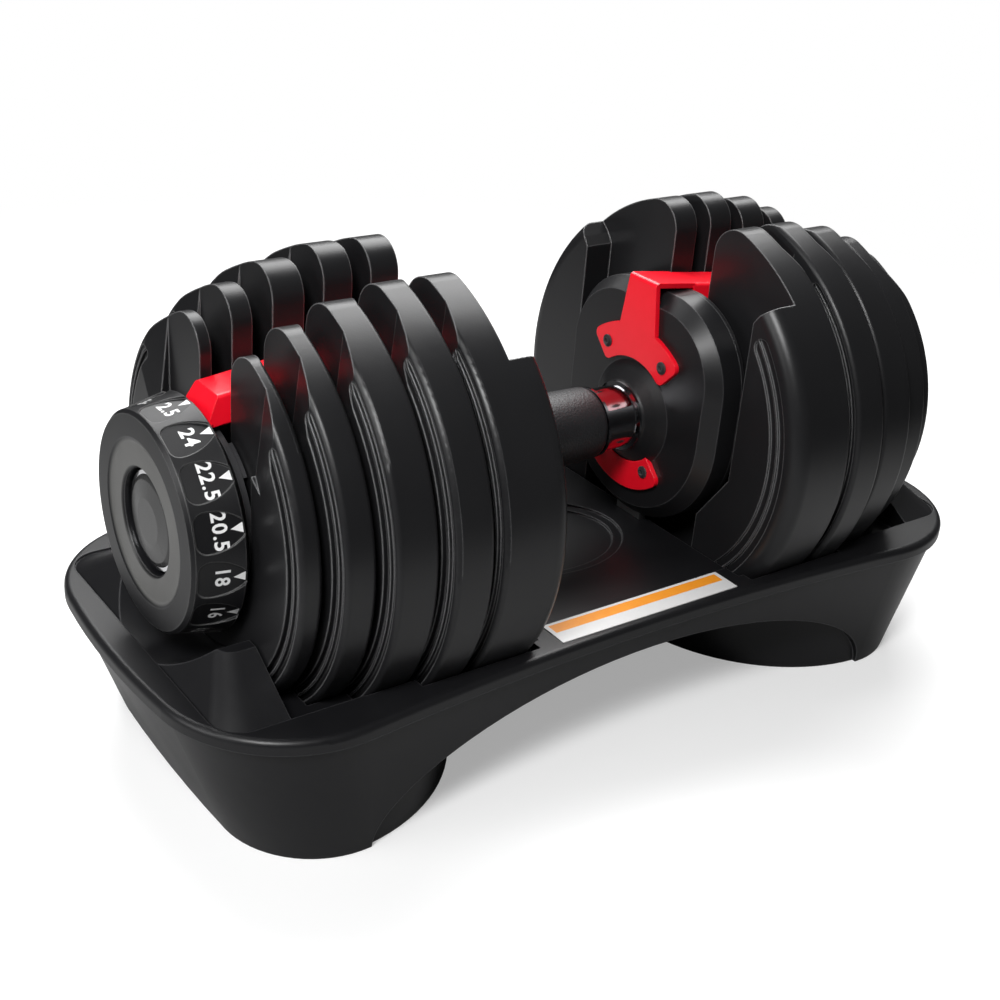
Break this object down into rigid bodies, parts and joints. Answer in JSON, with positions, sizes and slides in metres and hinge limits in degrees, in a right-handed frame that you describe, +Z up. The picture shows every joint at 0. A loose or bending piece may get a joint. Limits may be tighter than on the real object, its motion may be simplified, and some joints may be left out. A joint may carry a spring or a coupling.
{
  "type": "adjustable dumbbell",
  "caption": "Dial-select adjustable dumbbell in its tray: black stepped weight plates, red bridge bars, numbered end dials and a rubber grip.",
  "frame": {"origin": "on the floor, under the middle of the handle", "axes": "+Z up, X along the handle, Y across it; the tray's label lies on the -Y side"},
  "size_m": [0.449, 0.205, 0.223],
  "materials": {
    "tray_black": "satin moulded plastic",
    "label_white": "printed strip, white with a plain orange band",
    "plate_black": "steel in a satin black moulded skin",
    "disc_black": "satin",
    "selector_black": "satin",
    "dial_black": "satin with white numbers",
    "cap_black": "gloss",
    "bridge_red": "bright gloss red",
    "grip_rubber": "fine textured",
    "collar_chrome": "polished",
    "ring_chrome": "polished",
    "shaft_steel": "turned",
    "screw_steel": "bright",
    "lock_steel": "stamped",
    "spring_steel": "drawn wire"
  },
  "bodies": {
    "tray": {"tray": "tray_black", "tray_label": "label_white"},
    "handle": {"handle_shaft": "shaft_steel", "handle_tube": "shaft_steel", "grip": "grip_rubber", "collar_left": "collar_chrome", "inner_disc_left": "disc_black", "housing_cover_left": "disc_black", "bridge_left": "bridge_red", "lower_clamp_left": "bridge_red", "bracket_screws_left": "screw_steel", "click_plunger_left": "screw_steel", "end_cap_left": "cap_black", "end_ring_left": "ring_chrome", "end_washer_left": "shaft_steel", "end_bolt_left": "screw_steel", "lock_spring_left": "spring_steel", "collar_right": "collar_chrome", "inner_disc_right": "disc_black", "housing_cover_right": "disc_black", "bridge_right": "bridge_red", "lower_clamp_right": "bridge_red", "bracket_screws_right": "screw_steel", "click_plunger_right": "screw_steel", "end_cap_right": "cap_black", "end_ring_right": "ring_chrome", "end_washer_right": "shaft_steel", "end_bolt_right": "screw_steel", "lock_spring_right": "spring_steel"},
    "dial_left": {"dial_left": "dial_black", "selector_tube_left": "selector_black", "index_wheel_left": "selector_black", "selector_disc_left_1": "selector_black", "selector_disc_left_2": "selector_black", "selector_disc_left_3": "selector_black", "selector_disc_left_4": "selector_black", "selector_disc_left_5": "selector_black"},
    "lock_left": {"lock_plate_left": "lock_steel"},
    "plate_left_1": {"plate_left_1": "plate_black"},
    "plate_left_2": {"plate_left_2": "plate_black"},
    "plate_left_3": {"plate_left_3": "plate_black"},
    "plate_left_4": {"plate_left_4": "plate_black"},
    "plate_left_5": {"plate_left_5": "plate_black"},
    "dial_right": {"dial_right": "dial_black", "selector_tube_right": "selector_black", "index_wheel_right": "selector_black", "selector_disc_right_1": "selector_black", "selector_disc_right_2": "selector_black", "selector_disc_right_3": "selector_black", "selector_disc_right_4": "selector_black", "selector_disc_right_5": "selector_black"},
    "lock_right": {"lock_plate_right": "lock_steel"},
    "plate_right_1": {"plate_right_1": "plate_black"},
    "plate_right_2": {"plate_right_2": "plate_black"},
    "plate_right_3": {"plate_right_3": "plate_black"},
    "plate_right_4": {"plate_right_4": "plate_black"},
    "plate_right_5": {"plate_right_5": "plate_black"}
  },
  "joints": [
    {"name": "dumbbell_lift", "type": "slide", "parent": "tray", "child": "handle", "axis": [0, 0, 1], "range_m": [0, 0.25]},
    {"name": "dial_left_turn", "type": "hinge", "parent": "handle", "child": "dial_left", "pos_m": [-0.195, 0, 0.125], "axis": [-1, 0, 0], "range_deg": [0, 336]},
    {"name": "lock_left_drop", "type": "slide", "parent": "handle", "child": "lock_left", "axis": [0, 0, -1], "range_m": [0, 0.0045], "deforming": ["lock_spring_left"]},
    {"name": "plate_left_1_lift", "type": "slide", "parent": "tray", "child": "plate_left_1", "axis": [0, 0, 1], "range_m": [0, 0.25]},
    {"name": "plate_left_2_lift", "type": "slide", "parent": "tray", "child": "plate_left_2", "axis": [0, 0, 1], "range_m": [0, 0.25]},
    {"name": "plate_left_3_lift", "type": "slide", "parent": "tray", "child": "plate_left_3", "axis": [0, 0, 1], "range_m": [0, 0.25]},
    {"name": "plate_left_4_lift", "type": "slide", "parent": "tray", "child": "plate_left_4", "axis": [0, 0, 1], "range_m": [0, 0.25]},
    {"name": "plate_left_5_lift", "type": "slide", "parent": "tray", "child": "plate_left_5", "axis": [0, 0, 1], "range_m": [0, 0.25]},
    {"name": "dial_right_turn", "type": "hinge", "parent": "handle", "child": "dial_right", "pos_m": [0.195, 0, 0.125], "axis": [-1, 0, 0], "range_deg": [0, 336]},
    {"name": "lock_right_drop", "type": "slide", "parent": "handle", "child": "lock_right", "axis": [0, 0, -1], "range_m": [0, 0.0045], "deforming": ["lock_spring_right"]},
    {"name": "plate_right_1_lift", "type": "slide", "parent": "tray", "child": "plate_right_1", "axis": [0, 0, 1], "range_m": [0, 0.25]},
    {"name": "plate_right_2_lift", "type": "slide", "parent": "tray", "child": "plate_right_2", "axis": [0, 0, 1], "range_m": [0, 0.25]},
    {"name": "plate_right_3_lift", "type": "slide", "parent": "tray", "child": "plate_right_3", "axis": [0, 0, 1], "range_m": [0, 0.25]},
    {"name": "plate_right_4_lift", "type": "slide", "parent": "tray", "child": "plate_right_4", "axis": [0, 0, 1], "range_m": [0, 0.25]},
    {"name": "plate_right_5_lift", "type": "slide", "parent": "tray", "child": "plate_right_5", "axis": [0, 0, 1], "range_m": [0, 0.25]}
  ],
  "couplings": [
    {"joint": "lock_left_drop", "follows": "dumbbell_lift", "ratio": 0.018},
    {"joint": "plate_left_1_lift", "follows": "dumbbell_lift", "ratio": 1},
    {"joint": "plate_left_2_lift", "follows": "dumbbell_lift", "ratio": 1},
    {"joint": "plate_left_3_lift", "follows": "dumbbell_lift", "ratio": 1},
    {"joint": "plate_left_4_lift", "follows": "dumbbell_lift", "ratio": 1},
    {"joint": "plate_left_5_lift", "follows": "dumbbell_lift", "ratio": 1},
    {"joint": "lock_right_drop", "follows": "dumbbell_lift", "ratio": 0.018},
    {"joint": "plate_right_1_lift", "follows": "dumbbell_lift", "ratio": 1},
    {"joint": "plate_right_2_lift", "follows": "dumbbell_lift", "ratio": 1},
    {"joint": "plate_right_3_lift", "follows": "dumbbell_lift", "ratio": 1},
    {"joint": "plate_right_4_lift", "follows": "dumbbell_lift", "ratio": 1},
    {"joint": "plate_right_5_lift", "follows": "dumbbell_lift", "ratio": 1}
  ]
}
